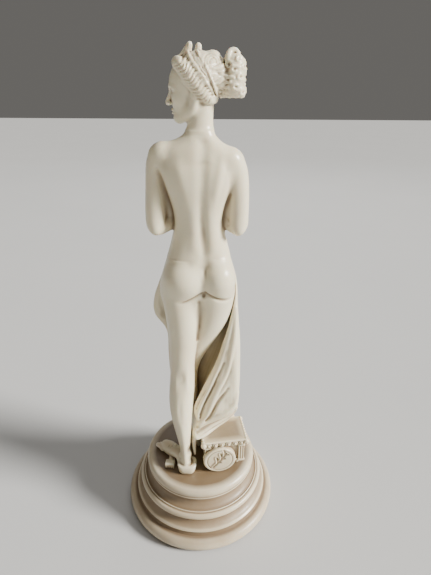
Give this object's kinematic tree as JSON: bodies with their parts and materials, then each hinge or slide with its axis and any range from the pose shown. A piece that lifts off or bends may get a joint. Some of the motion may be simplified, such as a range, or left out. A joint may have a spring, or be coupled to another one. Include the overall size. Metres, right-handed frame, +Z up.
{
  "type": "draped figure statuette on round base",
  "caption": "Classical standing figure with drapery and a small casket, ivory bonded marble, on a turned stepped round base.",
  "frame": {"origin": "centre of the underside of the felt pad, on the axis of the round base", "axes": "+Z up; the figure faces -Y and its left side is +X"},
  "size_m": [0.1074, 0.1074, 0.3],
  "materials": {
    "marble": "ivory bonded marble, satin, warm brown shading in the recesses",
    "marble_base": "ivory bonded marble, satin, turned",
    "felt": "dark green felt",
    "steel": "zinc plated"
  },
  "bodies": {
    "root": {"figure": "marble", "drapery": "marble", "casket_body": "marble", "casket_lid": "marble", "plinth_disc": "marble_base", "socle": "marble_base", "felt_pad": "felt", "tie_stud": "steel", "washer": "steel", "nut": "steel", "leg_rod": "steel", "drapery_dowel": "steel", "casket_dowel": "steel"}
  },
  "joints": []
}
